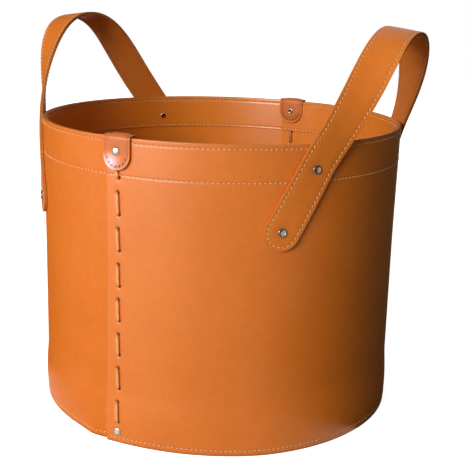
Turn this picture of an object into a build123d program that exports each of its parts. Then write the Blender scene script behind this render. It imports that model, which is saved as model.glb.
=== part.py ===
from build123d import *
import os
from math import cos, degrees, radians, sin, tan

# A round leather log bag. Two wall panels lap over each other at two seams and are laced
# together, a moulded tray is the base, a band backs the rim, a folded tab covers the top of
# each seam, and two strap handles are riveted to the wall.
# The seams face -Y and +Y, the handles stand over +X and -X, and the bag stands on z = 0.
# Lengths are in millimetres and angles in degrees, anticlockwise from +X seen from above.

# The whole bag
bag_diameter = 400.0
bag_height = 321.0
wall_thickness = 2.6
lay_gap = 0.12  # air between two layers of leather that lie on each other
cut_overrun = 5.0  # how far a punch or knife goes past what it cuts
seam_skew = 1.2  # each seam was closed this far towards -X of square
handle_skew = 1.5  # each handle was riveted this far towards +Y of square

# The wall's profile: drawn in a little at the waist, pushed out by the tray at the foot
waist_draw = 0.8
waist_top = 200.0
foot_edge_swell = 2.0
foot_swell = 2.8
foot_top_swell = 1.9
swell_fade = 20.0

# The laps at the seams: the panel underneath dives inwards by one thickness
lap = 13.5  # from the lace line to the edge of each panel
dive_margin = 2.0
dive_run = 22.0

# The band inside the rim
band_thickness = 1.8
band_height = 38.5
band_butt = 0.4

# The base
tray_thickness = 3.0
flange_height = 38.0
tray_corner = 5.0
tray_inner_corner = 2.0
corner_steps = 3
board_thickness = 3.5
liner_thickness = 2.0
liner_play = 0.6

# The folded tabs over the seams
tab_width = 33.0
tab_thickness = 2.4
tab_outer_drop = 32.0
tab_inner_drop = 28.5
tab_end_radius = 16.0
tab_fold_radius = 2.2

# The laces
lace_width = 3.4
lace_thickness = 2.0
lace_fold = 0.4  # radius inside each turn
slot_play = 0.25
lowest_slot = 23.3
highest_slot_drop = 8.1  # under the tab's tip
stitch_count = 7
outside_share = 0.609  # of each step of the running stitch; the rest of it runs inside

# The rivets
shank_radius = 1.6
hole_play = 0.15
cap_edge = 0.5
handle_cap_radius = 4.7
handle_cap_rise = 1.9
seam_cap_radius = 4.3
seam_cap_rise = 1.8
back_radius = 3.6
back_rise = 1.5
socket_depth = 0.8
socket_play = 0.05
tab_rivet_drop = 13.3
foot_rivet_height = 12.8

# The handles
strap_width = 37.0
strap_thickness = 2.4
lining_thickness = 1.8
strap_lean = 29.0
rivet_spread = 35.6  # from the handle's middle to its upper rivets
high_rivet_drop = 25.0  # from the rim down to the upper rivets
low_rivet_drop = 85.6
free_drop = 21.0  # the strap leaves the wall this far under the rim, just over its rivet
root_pull = 30.0  # how far on its old way the point lies that pulls it first
root_lift = 0.6  # and how far off the wall
roll_start_share = 0.12  # of the way to the apex, before the strap starts to roll over
shoulder_inset = 3.3  # the point that pulls the curve between the rim and the apex
shoulder_spread = 70.1
shoulder_rise = 42.8
apex_overhang = 4.7  # how far the top of the strap stands out over the rim
apex_rise = 104.3  # and how far above it
apex_pull = 66.0
apex_tilt = 7.3
loop_steps = 12
wall_steps = 5
bend_below = 5.0  # the strap bends from this far under the rim
bend_above = 15.0  # to this far over it

rim_radius = bag_diameter / 2
waist_radius = rim_radius - waist_draw
dive = wall_thickness + lay_gap
high_rivet_height = bag_height - high_rivet_drop
low_rivet_height = bag_height - low_rivet_drop


def wall_levels():
    """Heights and outer radii of the wall, from the foot to the rim."""
    return [
        (0.0, waist_radius + foot_edge_swell),
        (flange_height / 2, waist_radius + foot_swell),
        (flange_height, waist_radius + foot_top_swell),
        (flange_height + swell_fade, waist_radius),
        (waist_top, waist_radius),
        (bag_height, rim_radius),
    ]


def wall_radius(z):
    levels = wall_levels()
    for (low, low_radius), (high, high_radius) in zip(levels, levels[1:]):
        if z <= high:
            return low_radius + (high_radius - low_radius) * (z - low) / (high - low)
    return rim_radius


def around(length):
    """The angle that a length along the rim takes."""
    return degrees(length / rim_radius)


def at(radius, angle, z=0.0):
    return Vector(radius * cos(radians(angle)), radius * sin(radians(angle)), z)


def along(angle):
    """Unit vector round the bag at an angle."""
    return Vector(-sin(radians(angle)), cos(radians(angle)), 0)


def arc(radius, start, end, z):
    return ThreePointArc(at(radius, start, z), at(radius, (start + end) / 2, z), at(radius, end, z))


def slope(radius, start, to_radius, end, z):
    """A smooth S between two radii, level at both ends."""
    turn = 1 if end > start else -1
    return Spline(
        at(radius, start, z),
        at((radius + to_radius) / 2, (start + end) / 2, z),
        at(to_radius, end, z),
        tangents=[along(start) * turn, along(end) * turn],
    )


def turned(outline, start, end):
    """An upright outline swept round the bag's axis between two angles."""
    return Rot(0, 0, start) * revolve(Plane.XZ * make_face(outline), Axis.Z, end - start)


def layer_part(outer_depth, inner_depth, heights, start, end):
    """A plain stretch of a layer that follows the wall, at these depths under its outer face."""
    far = [(wall_radius(z) - outer_depth, z) for z in heights]
    near = [(wall_radius(z) - inner_depth, z) for z in heights[::-1]]
    return turned(Polyline(*far, *near, close=True), start, end)


def diving_part(outer_depth, inner_depth, heights, high, low):
    """The stretch of a layer that dives inwards by one thickness between two angles."""
    faces = []
    for z in heights:
        far = wall_radius(z) - outer_depth
        near = wall_radius(z) - inner_depth
        edges = [
            slope(far, high, far - dive, low, z),
            Line(at(far - dive, low, z), at(near - dive, low, z)),
            slope(near - dive, low, near, high, z),
            Line(at(near, high, z), at(far, high, z)),
        ]
        faces.append(make_face(edges))
    return loft(faces, ruled=True)


def layer(outer_depth, inner_depth, bottom, start, end_seam):
    """A layer of the wall: round the bag, then diving under the next panel at a seam."""
    heights = [bottom] + [z for z, _ in wall_levels() if z > bottom]
    low = end_seam - around(lap + dive_margin)
    high = low - around(dive_run)
    end = end_seam + around(lap)
    plain = layer_part(outer_depth, inner_depth, heights, start, high)
    diving = diving_part(outer_depth, inner_depth, heights, high, low)
    return plain + diving + layer_part(outer_depth + dive, inner_depth + dive, heights, low, end)


def radial_plane(radius, angle, z=0.0):
    """A plane square to the wall: x runs round the bag, y is up and z points outwards."""
    return Plane(origin=at(radius, angle, z), x_dir=along(angle), z_dir=at(1, angle))


def punch(angle, z):
    """The tool for a rivet hole through every layer of the wall."""
    depth = rim_radius / 4
    tool = Cylinder(shank_radius + hole_play, depth)
    return radial_plane(rim_radius, angle, z) * tool


def slot(angle, z):
    """The tool for one lace slot through both panels."""
    depth = 2 * wall_thickness + foot_swell + 2 * cut_overrun
    tool = Box(lace_width + 2 * slot_play, lace_thickness + 2 * slot_play, depth)
    return radial_plane(rim_radius, angle, z) * tool


def tab_tip():
    return bag_height - tab_outer_drop


def slot_heights():
    """Heights of the lace slots, from the lowest up; the top one is tucked under the tab."""
    pitch = (tab_tip() - highest_slot_drop - lowest_slot) / stitch_count
    heights = []
    for i in range(stitch_count):
        heights += [lowest_slot + i * pitch, lowest_slot + (i + outside_share) * pitch]
    heights.append(lowest_slot + stitch_count * pitch)
    heights.append(tab_tip() - lace_thickness / 2 - 2 * lay_gap)
    return heights


front_seam = -90 - seam_skew
back_seam = 90 + seam_skew
seams = {"front": front_seam, "back": back_seam}
handles = {"right": handle_skew, "left": 180 - handle_skew}
strap_seat = rim_radius + 1.5 * lay_gap + lining_thickness  # the face between lining and strap


def root_angle(z):
    """How far from the handle's middle the strap's centre line lies on the wall."""
    return rivet_spread + degrees((high_rivet_height - z) * tan(radians(strap_lean)) / strap_seat)


handle_rivets = [
    (side * root_angle(z), z) for side in (1, -1) for z in (high_rivet_height, low_rivet_height)
]


def wall_panel(start_seam, end_seam):
    panel = layer(0.0, wall_thickness, 0.0, start_seam - around(lap), end_seam)
    for seam in (start_seam, end_seam):
        for z in slot_heights():
            panel -= slot(seam, z)
        panel -= punch(seam, bag_height - tab_rivet_drop)
        panel -= punch(seam, foot_rivet_height)
    for middle in handles.values():
        for angle, z in handle_rivets:
            panel -= punch(middle + angle, z)
    return panel


def rim_band(start_seam, end_seam):
    depth = wall_thickness + lay_gap
    start = start_seam + around(lap + band_butt)
    band = layer(depth, depth + band_thickness, bag_height - band_height, start, end_seam)
    band -= punch(end_seam, bag_height - tab_rivet_drop)
    for middle in handles.values():
        for angle, z in handle_rivets:
            if z > bag_height - band_height:
                band -= punch(middle + angle, z)
    return band


def flange_radius():
    """The outer face of the tray's flange, clear of the wall at every height of the flange."""
    return min(r for z, r in wall_levels() if z <= flange_height) - wall_thickness - lay_gap


def tray_outline(inset, z):
    """The tray seen from above, with a dent at each seam for the panel that dives there."""
    far = flange_radius() - inset
    near = far - dive
    flat = around(lap + dive_margin)
    edges = []
    for seam, next_seam in ((front_seam, back_seam), (back_seam, front_seam + 360)):
        leave = seam + flat + around(dive_run)
        arrive = next_seam - flat - around(dive_run)
        edges.append(arc(near, seam - flat, seam + flat, z))
        edges.append(slope(near, seam + flat, far, leave, z))
        edges.append(arc(far, leave, (leave + arrive) / 2, z))
        edges.append(arc(far, (leave + arrive) / 2, arrive, z))
        edges.append(slope(far, arrive, near, next_seam - flat, z))
    return make_face(edges)


def tray_block(inset, corner, bottom, top):
    """The space inside the tray's outline, with a faceted round along its bottom edge."""
    rings = []
    for i in range(corner_steps + 1):
        turn = radians(90 * i / corner_steps)
        rings.append((inset + corner * (1 - sin(turn)), bottom + corner * (1 - cos(turn))))
    rings.append((inset, top))
    return loft([tray_outline(ring_inset, z) for ring_inset, z in rings], ruled=True)


def base_tray():
    tray = tray_block(0, tray_corner, 0, flange_height)
    top = flange_height + cut_overrun
    tray -= tray_block(tray_thickness, tray_inner_corner, tray_thickness, top)
    for seam in seams.values():
        tray -= punch(seam, foot_rivet_height)
    return tray


def dent_radius():
    """The inner face of the flange where the tray is dented."""
    return flange_radius() - dive - tray_thickness


def disc(radius, bottom, thickness):
    return Pos(0, 0, bottom + thickness / 2) * Cylinder(radius, thickness)


def base_board():
    radius = dent_radius() - tray_inner_corner
    return disc(radius, tray_thickness, board_thickness)


def base_liner():
    return disc(dent_radius() - liner_play, tray_thickness + board_thickness, liner_thickness)


def seam_stack():
    """How deep the layers at a seam go, down to the inner face of the band."""
    return 2 * wall_thickness + 2 * lay_gap + band_thickness


def tab_faces():
    """How far from the axis a tab's outer and inner legs lie against the layers of the rim."""
    inner = wall_radius(tab_tip()) - seam_stack() - lay_gap
    return rim_radius + lay_gap, (inner**2 - (tab_width / 2) ** 2) ** 0.5


def seam_tab(seam):
    """A strip folded over the rim, too stiff to bend round the bag, its two ends cut round."""
    outer, inner = tab_faces()
    top = bag_height + lay_gap
    low = tab_tip()
    folded = Polyline(
        (outer, low),
        (outer + tab_thickness, low),
        (outer + tab_thickness, top + tab_thickness),
        (inner - tab_thickness, top + tab_thickness),
        (inner - tab_thickness, low),
        (inner, low),
        (inner, top),
        (outer, top),
        close=True,
    )
    face = make_face(folded)
    face = fillet(face.vertices().group_by(Axis.Y)[-1], tab_fold_radius)
    tab = extrude(Plane.XZ * face, tab_width / 2, both=True)
    middle = radial_plane((outer + inner) / 2, 0)
    legs = []
    for drop, side in ((tab_outer_drop, 1), (tab_inner_drop, -1)):
        shape = RectangleRounded(tab_width, bag_height, tab_end_radius)
        shape = Pos(0, top - drop + bag_height / 2) * shape
        legs.append(extrude(middle * shape, side * rim_radius / 4))
    tab &= legs[0] + legs[1]
    tab -= punch(0, bag_height - tab_rivet_drop)
    return Rot(0, 0, seam) * tab


def lace_route():
    """Radius and height of each corner of the running stitch, from the top down."""
    heights = slot_heights()[::-1]
    off = lay_gap + lace_thickness / 2
    stack = 2 * wall_thickness + lay_gap
    end_depth = stack - lace_thickness / 2  # each round end stays inside the wall
    route = [(wall_radius(heights[0]) - end_depth, heights[0])]
    for i, (high, low) in enumerate(zip(heights, heights[1:])):
        radii = [r for z, r in wall_levels() if low < z < high]
        radii += [wall_radius(low), wall_radius(high)]
        run = max(radii) + off if i % 2 == 0 else min(radii) - stack - off
        route += [(run, high), (run, low)]
    route.append((wall_radius(heights[-1]) - end_depth, heights[-1]))
    return route


def seam_lace(seam):
    path = FilletPolyline(*lace_route(), radius=lace_fold + lace_thickness / 2)
    outline = make_face(offset(path, lace_thickness / 2, side=Side.BOTH))
    return Rot(0, 0, seam) * extrude(Plane.XZ * outline, lace_width / 2, both=True)


def dome(radius, edge, top):
    """A spherical cap's outline, from its rim to the middle."""
    rise = abs(top - edge)
    sphere = (radius**2 + rise**2) / (2 * rise)
    fall = sphere - (sphere**2 - (radius / 2) ** 2) ** 0.5
    middle = top - fall if top > edge else top + fall
    return ThreePointArc((radius, edge), (radius / 2, middle), (0, top))


def rivet_cap(radius, rise, grip):
    """A domed cap with its shank, which ends in the socket of the back."""
    end = -grip - lay_gap - socket_depth
    outline = Polyline(
        (0, rise),
        (0, end),
        (shank_radius, end),
        (shank_radius, lay_gap),
        (radius, lay_gap),
        (radius, cap_edge),
    )
    face = make_face([*outline.edges(), dome(radius, cap_edge, rise)])
    return revolve(Plane.XZ * face, Axis.Z)


def rivet_back(grip):
    """The smaller domed back that is set on the shank."""
    seat = -grip - lay_gap
    bore = shank_radius + socket_play
    floor = seat - socket_depth - socket_play
    outline = Polyline(
        (0, seat - back_rise),
        (0, floor),
        (bore, floor),
        (bore, seat),
        (back_radius, seat),
        (back_radius, seat - cap_edge),
    )
    face = make_face([*outline.edges(), dome(back_radius, seat - cap_edge, seat - back_rise)])
    return revolve(Plane.XZ * face, Axis.Z)


def rivets(places, radius, rise):
    """Caps and backs for rivets given as angle, height, outer and inner seat radius."""
    caps, backs = [], []
    for angle, z, outer, inner in places:
        seat = radial_plane(outer, angle, z)
        caps.append(seat * rivet_cap(radius, rise, outer - inner))
        backs.append(seat * rivet_back(outer - inner))
    return caps, backs


def tab_rivets():
    outer, inner = tab_faces()
    z = bag_height - tab_rivet_drop
    places = [(seam, z, outer + tab_thickness, inner - tab_thickness) for seam in seams.values()]
    return rivets(places, seam_cap_radius, seam_cap_rise)


def foot_rivets():
    z = foot_rivet_height
    outer = wall_radius(z + seam_cap_radius)
    places = [(seam, z, outer, dent_radius()) for seam in seams.values()]
    return rivets(places, seam_cap_radius, seam_cap_rise)


def handle_rivet_places(middle):
    places = []
    for angle, z in handle_rivets:
        outer = wall_radius(z) + 2 * lay_gap + lining_thickness + strap_thickness
        inner = wall_radius(z) - wall_thickness
        if z > bag_height - band_height:
            inner -= lay_gap + band_thickness
        places.append((middle + angle, z, outer, inner))
    return places


def handle_rivet_sets():
    places = [place for middle in handles.values() for place in handle_rivet_places(middle)]
    return rivets(places, handle_cap_radius, handle_cap_rise)


def root_frame(z):
    """Centre, direction and width direction of the strap where it lies on the wall."""
    angle = root_angle(z)
    lean = radians(strap_lean)
    up = Vector(0, 0, cos(lean)) - along(angle) * sin(lean)
    radius = strap_seat + wall_radius(z) - rim_radius
    return at(radius, angle, z), up, at(1, angle).cross(up)


def pulled(points, share):
    """Place and direction on the curve that a row of points pulls, found by cutting corners."""
    while len(points) > 2:
        points = [a + (b - a) * share for a, b in zip(points, points[1:])]
    first, last = points
    return first + (last - first) * share, (last - first).normalized()


def loop_frame(share):
    """The same on the free curve, from where it leaves the wall at 0 to the apex at 1."""
    leave = bag_height - free_drop
    root, up, root_width = root_frame(leave)
    first = root + up * root_pull + at(root_lift, root_angle(leave))
    apex = Vector(rim_radius + apex_overhang, 0, bag_height + apex_rise)
    shoulder = Vector(rim_radius - shoulder_inset, shoulder_spread, bag_height + shoulder_rise)
    before_apex = apex + Vector(0, apex_pull, 0)
    centre, way = pulled([root, first, shoulder, before_apex, apex], share)
    tilt = radians(apex_tilt)
    apex_width = Vector(cos(tilt), 0, -sin(tilt))
    turned_share = max(0, share - roll_start_share) / (1 - roll_start_share)
    roll = turned_share * turned_share * (3 - 2 * turned_share)
    width = root_width * (1 - roll) + apex_width * roll
    width = (width - way * width.dot(way)).normalized()
    return centre, way, width


def strap_section(frame, low, high, side):
    """A layer's section across the strap, from low to high over the face between the layers."""
    centre, way, width = frame
    out = way.cross(width)
    half = width * (strap_width / 2)
    corners = [
        centre + half + out * low,
        centre + half + out * high,
        centre - half + out * high,
        centre - half + out * low,
    ]
    corners = [Vector(p.X, side * p.Y, p.Z) for p in corners]
    return make_face(Polyline(*corners, close=True))


def strap_layer(low, high):
    """One layer of the strap, up the wall, over the apex and down again, with square ends."""
    bottom = low_rivet_height - strap_width
    rise = (bag_height - free_drop - bottom) / wall_steps
    frames = [root_frame(bottom + rise * i) for i in range(wall_steps)]
    frames += [loop_frame(i / loop_steps) for i in range(loop_steps + 1)]
    faces = [strap_section(frame, low, high, 1) for frame in frames]
    faces += [strap_section(frame, low, high, -1) for frame in frames[-2::-1]]
    return loft(faces, ruled=True)


def slab(bottom, top):
    """All the space between two heights."""
    side = 2 * bag_diameter
    return Pos(0, 0, (bottom + top) / 2) * Box(side, side, top - bottom)


def tip_cutter(side):
    """The space in which a riveted end stays: the strap's width, with a round tip."""
    middle = root_angle((high_rivet_height + low_rivet_height) / 2)
    first, last = [
        Vector(strap_seat * sin(radians(root_angle(z) - middle)), z)
        for z in (low_rivet_height, high_rivet_height)
    ]
    way = (last - first).normalized()
    across = Vector(-way.Y, way.X) * strap_width
    tip = Vector(-way.Y, way.X) * (strap_width / 2)
    reach = way * bag_height
    outline = [
        Line(first + tip, first + across),
        Line(first + across, first + across + reach),
        Line(first + across + reach, first - across + reach),
        Line(first - across + reach, first - across),
        Line(first - across, first - tip),
        ThreePointArc(first - tip, first - way * (strap_width / 2), first + tip),
    ]
    shape = make_face(outline)
    if side < 0:
        shape = mirror(shape, Plane.YZ)
    return extrude(radial_plane(0, side * middle) * shape, bag_diameter)


def riveted_ends(layer_ends):
    """The two ends of a layer, cut round at their tips and punched for the rivets."""
    ends = []
    for side in (1, -1):
        end = layer_ends & tip_cutter(side)
        for z in (low_rivet_height, high_rivet_height):
            end -= punch(side * root_angle(z), z)
        ends.append(end)
    return ends


def handle(middle):
    """The pieces of one handle: loops, riveted ends and the stretches that bend at the rim."""
    half = lay_gap / 2
    layers = {"strap": (half, half + strap_thickness), "lining": (-half - lining_thickness, -half)}
    turn = Rot(0, 0, middle)
    low_cut = bag_height - bend_below
    high_cut = bag_height + bend_above
    pieces = {"bends": []}
    for name, (low, high) in layers.items():
        whole = strap_layer(low, high)
        pieces[f"{name}_loop"] = [turn * (whole & slab(high_cut, 2 * bag_height))]
        pieces[f"{name}_ends"] = [turn * end for end in riveted_ends(whole & slab(0, low_cut))]
        pieces["bends"] += [turn * bend for bend in (whole & slab(low_cut, high_cut)).solids()]
    return pieces


def write(name, *shapes):
    solids = [solid for shape in shapes for solid in shape.solids()]
    export_step(Compound(children=solids) if len(solids) > 1 else solids[0], f"parts/{name}.step")
    print(name, len(solids), round(sum(solid.volume for solid in solids), 1))


os.makedirs("parts", exist_ok=True)
write("right_wall_panel", wall_panel(front_seam, back_seam))
write("left_wall_panel", wall_panel(back_seam, front_seam + 360))
write("right_rim_band", rim_band(front_seam, back_seam))
write("left_rim_band", rim_band(back_seam, front_seam + 360))
write("base_tray", base_tray())
write("base_board", base_board())
write("base_liner", base_liner())
for name, seam in seams.items():
    write(f"{name}_seam_tab", seam_tab(seam))
    write(f"{name}_seam_lace", seam_lace(seam))
for name, (caps, backs) in {
    "tab": tab_rivets(),
    "foot": foot_rivets(),
    "handle": handle_rivet_sets(),
}.items():
    write(f"{name}_rivet_caps", *caps)
    write(f"{name}_rivet_backs", *backs)
for name, middle in handles.items():
    pieces = handle(middle)
    write(f"{name}_handle_strap", *pieces["strap_loop"])
    write(f"{name}_handle_lining", *pieces["lining_loop"])
    write(f"{name}_strap_ends", *pieces["strap_ends"])
    write(f"{name}_lining_ends", *pieces["lining_ends"])
    write(f"{name}_handle_bends", *pieces["bends"])
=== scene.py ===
import bmesh
import bpy
import numpy as np
from mathutils import Matrix


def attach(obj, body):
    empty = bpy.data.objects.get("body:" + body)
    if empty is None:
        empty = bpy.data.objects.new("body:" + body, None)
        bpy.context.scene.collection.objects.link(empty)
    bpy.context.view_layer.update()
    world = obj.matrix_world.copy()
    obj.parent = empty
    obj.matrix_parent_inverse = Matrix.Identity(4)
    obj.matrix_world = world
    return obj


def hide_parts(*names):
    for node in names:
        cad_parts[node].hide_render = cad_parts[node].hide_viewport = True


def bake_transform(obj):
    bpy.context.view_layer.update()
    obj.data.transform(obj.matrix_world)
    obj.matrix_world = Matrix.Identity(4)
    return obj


# A round leather log bag: two lapped wall panels laced together, a moulded base,
# folded seam tabs and two stitched strap handles held by nickel rivets.
# The bag's lengths are in millimetres until newPiece turns them into metres, and angles in
# degrees. The studio's lengths are in metres.

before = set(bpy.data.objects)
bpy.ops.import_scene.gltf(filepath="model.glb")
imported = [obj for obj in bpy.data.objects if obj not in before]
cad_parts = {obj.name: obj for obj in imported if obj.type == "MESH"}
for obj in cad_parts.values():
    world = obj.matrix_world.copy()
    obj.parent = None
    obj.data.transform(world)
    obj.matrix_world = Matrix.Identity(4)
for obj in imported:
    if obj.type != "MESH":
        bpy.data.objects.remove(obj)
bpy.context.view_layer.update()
print("frame loaded:", len(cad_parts), "CAD nodes")

millimetre = 0.001
rng = np.random.default_rng(7)

viewpoint = {
    "turn": 29.05,  # the photograph was taken from this far to the right of the front seam
    "distance": 1083.54,
    "height": 464.44,
    "pitch": 14.617,
    "yaw": 0.946,
    "roll": 1.693,
    "focalPixels": 954.21,
    "framePixels": 470.0,
    "sensorWidth": 36.0,
}


# A turn about the upright axis, as a matrix
def spinMatrix(angle):
    c, s = np.cos(np.radians(angle)), np.sin(np.radians(angle))
    return np.array([[c, -s, 0], [s, c, 0], [0, 0, 1]])


# An object that looks along minus its third axis from a place in metres
def placeObject(name, data, axes, place):
    thing = bpy.data.objects.new(name, data)
    matrix = np.eye(4)
    matrix[:3, :3] = axes
    matrix[:3, 3] = place
    thing.matrix_world = Matrix(matrix.tolist())
    bpy.context.scene.collection.objects.link(thing)
    return thing


# The way forward from yaw and pitch, the frame's sides turned about it by the roll,
# and all of it carried round the bag by the turn
def placeCamera():
    pitch, yaw, roll = [np.radians(viewpoint[key]) for key in ("pitch", "yaw", "roll")]
    forward = np.array([np.sin(yaw) * np.cos(pitch), np.cos(yaw) * np.cos(pitch), -np.sin(pitch)])
    level = np.cross(forward, [0, 0, 1])
    level /= np.linalg.norm(level)
    upright = np.cross(level, forward)
    right = np.cos(roll) * level + np.sin(roll) * upright
    up = np.cos(roll) * upright - np.sin(roll) * level
    spin = spinMatrix(viewpoint["turn"])
    place = spin @ np.array([0, -viewpoint["distance"], viewpoint["height"]]) * millimetre
    data = bpy.data.cameras.new("bagCamera")
    data.sensor_width = viewpoint["sensorWidth"]
    data.lens = viewpoint["focalPixels"] / viewpoint["framePixels"] * viewpoint["sensorWidth"]
    axes = spin @ np.stack([right, up, -forward], axis=1)
    bpy.context.scene.camera = placeObject("bagCamera", data, axes, place)


placeCamera()
print("camera placed")


# sRGB hex to linear: the standard curve, straight near black
def linearColour(hexColour):
    parts = np.array([int(hexColour[i : i + 2], 16) for i in (1, 3, 5)]) / 255
    linear = np.where(parts <= 0.04045, parts / 12.92, ((parts + 0.055) / 1.055) ** 2.4)
    return (*linear.tolist(), 1.0)


# Adds a node: settings go to its fields or sockets, links join its sockets to outputs
def addNode(tree, kind, settings=None, links=None):
    node = tree.nodes.new(f"ShaderNode{kind}")
    for key, value in (settings or {}).items():
        if isinstance(key, str) and hasattr(node, key):
            setattr(node, key, value)
        else:
            node.inputs[key].default_value = value
    for key, output in (links or {}).items():
        tree.links.new(output, node.inputs[key])
    return node


# A material whose tree is still empty
def newMaterial(name):
    material = bpy.data.materials.new(name)
    material.use_nodes = True
    material.node_tree.nodes.clear()
    return material, material.node_tree


# Ends a material in one surface node
def finishMaterial(tree, kind, settings, links):
    surface = addNode(tree, kind, settings, links)
    addNode(tree, "OutputMaterial", None, {"Surface": surface.outputs[0]})


# A ramp from one colour to another between two values of a factor
def colourRamp(tree, factor, low, high, lowColour, highColour):
    ramp = addNode(tree, "ValToRGB", None, {"Fac": factor})
    stops = zip(ramp.color_ramp.elements, (low, high), (lowColour, highColour))
    for element, position, colour in stops:
        element.position = position
        element.color = linearColour(colour)
    return ramp.outputs["Color"]


plainIor = 1.46  # wax, dry hide, linen and fibreboard bend light about as much
noiseRange = {"From Min": 0.3, "From Max": 0.7}  # where most of a noise's values lie
leatherLook = {
    # how the hide took the dye, its fibres and its creases: a size, then the noise's settings
    "cloud": (60.0, {"Detail": 3.0, "Roughness": 0.55}),
    "fibre": (9.0, {"Detail": 5.0, "Roughness": 0.65}),
    "crease": (16.0, {"Detail": 3.0, "Distortion": 0.6}),
    "poreSize": 0.9,  # hair pores, drawn coarser than the real 0.3 mm so that they show
    "poreDepth": 0.05,
    "poreStrength": 0.5,
    "creaseDepth": 0.1,
    "creaseStrength": 0.6,
    "dyeRange": (0.3, 0.75),
    "streaks": {"From Min": 0.4, "From Max": 0.8, "To Min": 0.0, "To Max": 0.1},
    "glossSpread": (-0.04, 0.05),
    # the colour of the painted highlight, a pale glare
    "paintedGlare": "#F4DEE8",
}


# Vegetable-tanned hide with an aniline finish: the eye sees cloudy dye, fine pores,
# soft creases, a wax gloss, painted shade (darker leather) where a piece's own shade attribute
# is above 0, and a painted highlight (a pale glare) where it is below 0
def leatherMaterial(name, base, light, dark, roughness, specular):
    material, tree = newMaterial(name)
    look = leatherLook
    place = {"Vector": addNode(tree, "TexCoord").outputs["Object"]}
    cloud, fibre, crease = [
        addNode(tree, "TexNoise", {"Scale": 1000 / size, **detail}, place).outputs["Fac"]
        for size, detail in (look["cloud"], look["fibre"], look["crease"])
    ]
    pores = addNode(tree, "TexVoronoi", {"Scale": 1000 / look["poreSize"]}, place)
    shade = addNode(tree, "Attribute", {"attribute_name": "shade"}).outputs["Fac"]
    streak = addNode(tree, "MapRange", look["streaks"], {"Value": fibre}).outputs["Result"]
    paintedHighlight = addNode(tree, "Math", {"operation": "MULTIPLY", 1: -1.0}, {0: shade}).outputs[0]
    tone = colourRamp(tree, cloud, *look["dyeRange"], base, light)
    # the dark colour serves the fibre streaks and the painted shade, the pale one the painted
    # highlight
    for share, colour in ((streak, dark), (shade, dark), (paintedHighlight, look["paintedGlare"])):
        mixing = {"data_type": "RGBA", 7: linearColour(colour)}
        tone = addNode(tree, "Mix", mixing, {0: share, 6: tone}).outputs[2]
    smoothest, roughest = [roughness + change for change in look["glossSpread"]]
    glossRange = {**noiseRange, "To Min": smoothest, "To Max": roughest}
    gloss = addNode(tree, "MapRange", glossRange, {"Value": fibre})
    relief = {}
    for key, height in (("pore", pores.outputs["Distance"]), ("crease", crease)):
        size = {"Strength": look[f"{key}Strength"], "Distance": look[f"{key}Depth"] * millimetre}
        bump = addNode(tree, "Bump", size, {"Height": height, **relief})
        relief = {"Normal": bump.outputs["Normal"]}
    links = {"Base Color": tone, "Roughness": gloss.outputs["Result"], **relief}
    finishMaterial(tree, "BsdfPrincipled", {"IOR": plainIor, "Specular IOR Level": specular}, links)
    return material


grainLook = {"detail": 4.0, "toneRange": (0.35, 0.68), "strength": 0.5, "specular": 0.3}


# Matt materials of one noise: two colours and a relief from the same grain
def grainMaterial(name, base, dark, grainSize, depth, roughness):
    material, tree = newMaterial(name)
    place = {"Vector": addNode(tree, "TexCoord").outputs["Object"]}
    pattern = {"Scale": 1000 / grainSize, "Detail": grainLook["detail"]}
    grain = addNode(tree, "TexNoise", pattern, place).outputs["Fac"]
    size = {"Strength": grainLook["strength"], "Distance": depth * millimetre}
    relief = addNode(tree, "Bump", size, {"Height": grain})
    tone = colourRamp(tree, grain, *grainLook["toneRange"], dark, base)
    finish = {"IOR": plainIor, "Roughness": roughness, "Specular IOR Level": grainLook["specular"]}
    links = {"Base Color": tone, "Normal": relief.outputs["Normal"]}
    finishMaterial(tree, "BsdfPrincipled", finish, links)
    return material


nickelLook = {"haze": {"Scale": 700.0, "Detail": 3.0}, "gloss": {"To Min": 0.18, "To Max": 0.32}}


# Nickel-plated brass, pressed and barrel polished: bright, hazed by handling, darkened where the
# shade attribute says so: partly tarnish, partly painted shade and painted dark reflection
def nickelMaterial(name, base, dark):
    material, tree = newMaterial(name)
    place = {"Vector": addNode(tree, "TexCoord").outputs["Object"]}
    haze = addNode(tree, "TexNoise", nickelLook["haze"], place).outputs["Fac"]
    shade = addNode(tree, "Attribute", {"attribute_name": "shade"}).outputs["Fac"]
    mixing = {"data_type": "RGBA", 6: linearColour(base), 7: linearColour(dark)}
    tone = addNode(tree, "Mix", mixing, {0: shade}).outputs[2]
    gloss = addNode(tree, "MapRange", {**noiseRange, **nickelLook["gloss"]}, {"Value": haze})
    links = {"Base Color": tone, "Roughness": gloss.outputs["Result"]}
    finishMaterial(tree, "BsdfPrincipled", {"Metallic": 1.0}, links)
    return material


waxedLeather = leatherMaterial("tanWaxedWallLeather", "#DD7118", "#E37820", "#5A2408", 0.4, 0.5)
# The same hide where it took less wax, so that it shows less sheen beside a seam
mattLeather = leatherMaterial("tanMattWallLeather", "#DE711A", "#E47822", "#5A2408", 0.52, 0.2)
# The insides' leather is a little yellower
waxedInside = leatherMaterial("tanWaxedInsideLeather", "#DD7A1E", "#E38128", "#5A2408", 0.34, 0.7)
mattInside = leatherMaterial("tanMattInsideLeather", "#DE7A20", "#E48128", "#5A2408", 0.52, 0.2)
strapLeather = leatherMaterial("tanStrapLeather", "#E4771F", "#E97F27", "#3E1C08", 0.45, 0.4)
liningLeather = leatherMaterial("tanLiningLeather", "#D07020", "#D87826", "#3A1B08", 0.55, 0.3)
tabLeather = leatherMaterial("tanTabLeather", "#D86E22", "#DE762C", "#4A220A", 0.42, 0.3)
laceLeather = leatherMaterial("tanLaceLeather", "#EA9350", "#EE9C5C", "#4E260C", 0.42, 0.4)
baseLeather = leatherMaterial("tanBaseLeather", "#B9672A", "#C47434", "#42200A", 0.55, 0.3)
# Cut hide, dyed and rubbed smooth: a shade duller than the grain side, faintly striped
tanEdge = grainMaterial("rubbedLeatherEdge", "#D27E34", "#B56A2A", 1.1, 0.08, 0.5)
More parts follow.
